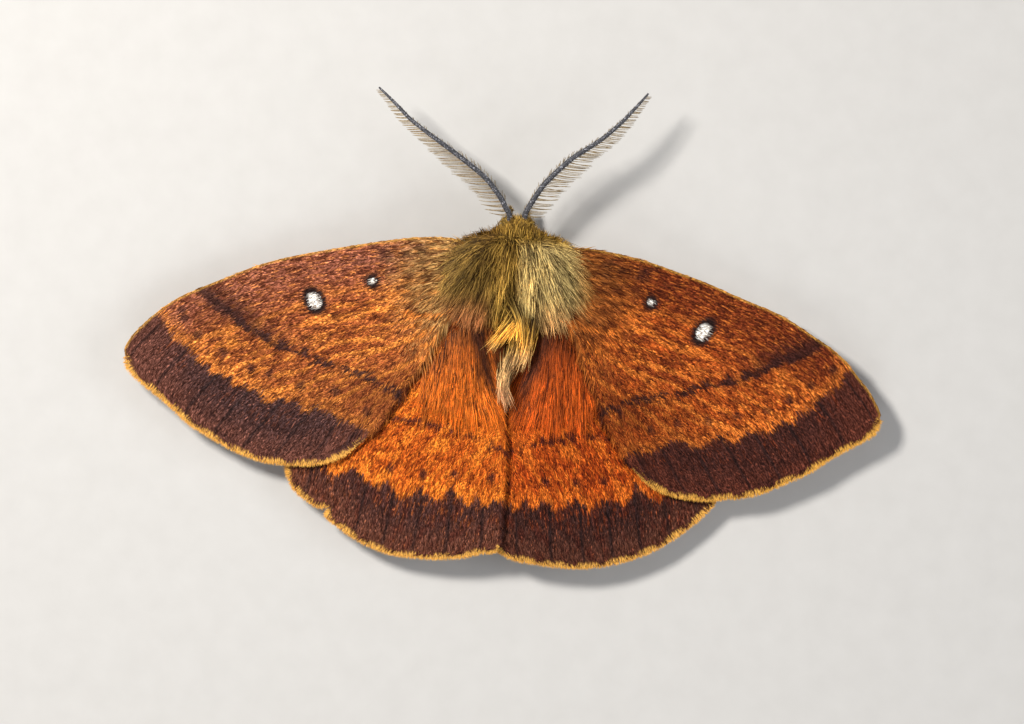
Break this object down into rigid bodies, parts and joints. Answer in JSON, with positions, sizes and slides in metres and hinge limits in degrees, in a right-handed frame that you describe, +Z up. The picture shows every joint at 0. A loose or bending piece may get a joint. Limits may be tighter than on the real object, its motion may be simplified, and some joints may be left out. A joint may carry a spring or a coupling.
{
  "type": "moth",
  "caption": "Life-size model of a male moth at rest with its wings spread flat, feathered antennae, furry thorax and orange hindwings with a dark zigzag border.",
  "frame": {"origin": "bottom centre of the moth's bounding box, on the surface that its feet stand on", "axes": "+X out along the moth's left wings, -Y towards the head and antennae, +Z up from the feet to the back"},
  "size_m": [0.048, 0.0298, 0.0073],
  "materials": {
    "olive_fur": "matte fur",
    "orange_fur": "matte fur",
    "rust_scales": "matte scales",
    "flame_scales": "matte scales",
    "grey_antenna": "satin",
    "dark_eye": "gloss",
    "brown_leg": "matte fur"
  },
  "bodies": {
    "root": {"thorax": "olive_fur", "head": "olive_fur", "abdomen": "orange_fur", "eye_left": "dark_eye", "eye_right": "dark_eye", "palp_left": "olive_fur", "palp_right": "olive_fur", "antenna_left": "grey_antenna", "antenna_right": "grey_antenna", "forewing_left": "rust_scales", "forewing_right": "rust_scales", "hindwing_left": "flame_scales", "hindwing_right": "flame_scales", "leg_fore_left": "brown_leg", "leg_fore_right": "brown_leg", "leg_mid_left": "brown_leg", "leg_mid_right": "brown_leg", "leg_hind_left": "brown_leg", "leg_hind_right": "brown_leg"}
  },
  "joints": []
}
